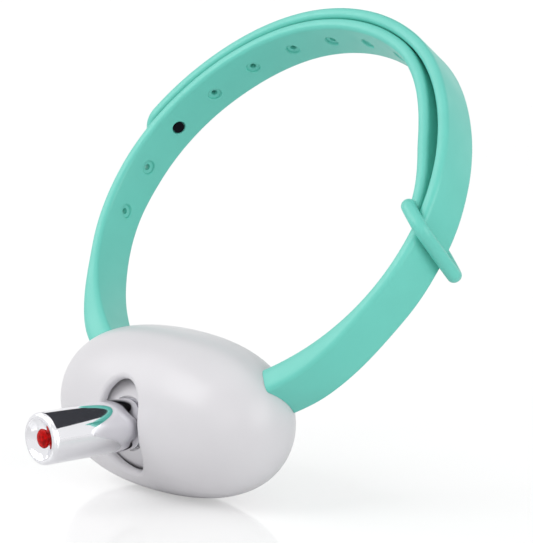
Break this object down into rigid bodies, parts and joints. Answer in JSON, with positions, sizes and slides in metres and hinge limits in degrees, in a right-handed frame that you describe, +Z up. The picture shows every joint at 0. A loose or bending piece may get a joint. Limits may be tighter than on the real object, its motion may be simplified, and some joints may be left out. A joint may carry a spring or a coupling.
{
  "type": "automatic cat toy",
  "caption": "Egg-shaped laser toy on a two-band silicone neck strap, with a motor-driven laser barrel that swings up and down in a slot.",
  "frame": {"origin": "under the middle of the whole toy's box, on the surface that the housing stands on", "axes": "+X along the housing's long side, to the end where the outer band is rooted; -Y along the level laser barrel, out of its lens; +Z up, with the strap's loop leaning back towards +Y"},
  "size_m": [0.0894, 0.0812, 0.0874],
  "materials": {
    "white_shell": "satin",
    "white_button": "satin",
    "white_inner": "matte",
    "white_gear": "matte",
    "mint_silicone": "satin",
    "black_snap": "satin",
    "steel_screw": "satin",
    "steel_bracket": "satin",
    "chrome_tube": "polished",
    "red_lens": "polished",
    "brass_module": "satin",
    "brass_pinion": "satin",
    "steel_motor": "satin",
    "cell_wrap": "satin",
    "green_board": "satin",
    "black_chip": "matte",
    "steel_socket": "satin"
  },
  "bodies": {
    "housing": {"housing_front": "white_shell", "housing_back": "white_shell", "journal_caps": "white_inner", "strap_inner": "mint_silicone", "strap_outer": "mint_silicone", "snap_stud": "black_snap", "snap_cap": "black_snap", "housing_screws": "steel_screw", "board_screws": "steel_screw", "motor_bracket": "steel_bracket", "gear_motor": "steel_motor", "battery_cell": "cell_wrap", "circuit_board": "green_board", "controller_chip": "black_chip", "power_switch": "black_chip", "charge_socket": "steel_socket"},
    "laser_head": {"swivel_cradle": "white_inner", "laser_barrel": "chrome_tube", "laser_lens": "red_lens", "laser_module": "brass_module", "laser_driver": "green_board", "sector_gear": "white_gear"},
    "pinion": {"drive_pinion": "brass_pinion"},
    "button": {"power_button": "white_button"}
  },
  "joints": [
    {"name": "laser_swing", "type": "hinge", "parent": "housing", "child": "laser_head", "pos_m": [-0.00184, -0.00961, 0.0142], "axis": [1, 0, 0], "range_deg": [-12, 15]},
    {"name": "pinion_spin", "type": "hinge", "parent": "housing", "child": "pinion", "pos_m": [-0.00184, -0.0065, 0.00835], "axis": [1, 0, 0], "range_deg": [-47, 38]},
    {"name": "power_press", "type": "slide", "parent": "housing", "child": "button", "axis": [0, -1, 0], "range_m": [0, 0.0004], "stiffness_N_per_m": 400}
  ],
  "couplings": [
    {"joint": "pinion_spin", "follows": "laser_swing", "ratio": -3.125}
  ]
}
